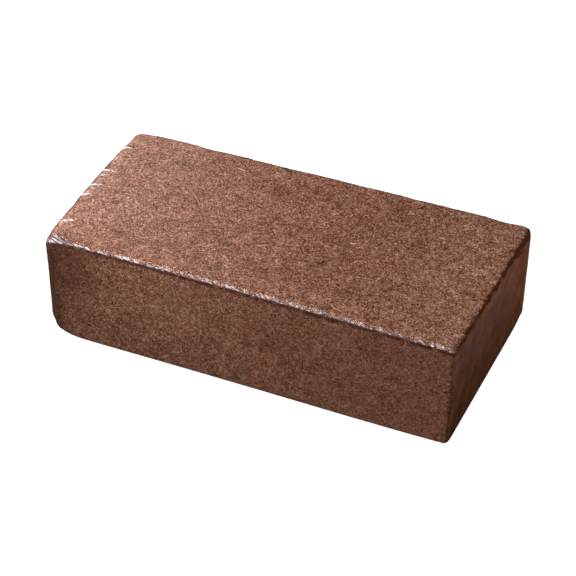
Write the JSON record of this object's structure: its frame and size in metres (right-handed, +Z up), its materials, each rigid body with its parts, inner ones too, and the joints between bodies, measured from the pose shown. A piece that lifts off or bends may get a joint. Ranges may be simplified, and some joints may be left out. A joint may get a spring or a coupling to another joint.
{
  "type": "coconut coir bale",
  "caption": "Brick-shaped bale of pressed coconut coir in a tight clear shrink film, rounded at its corners and resting flat.",
  "frame": {"origin": "middle of the flat underside, on the surface that the bale rests on", "axes": "+X along the length towards the right end, -Y towards the front long side, +Z up"},
  "size_m": [0.2007, 0.1028, 0.0515],
  "materials": {
    "coir": "rough pressed fibre and pith, matte",
    "film": "clear shrink film, glossy"
  },
  "bodies": {
    "root": {"coir_block": "coir", "film_wrap": "film"}
  },
  "joints": []
}
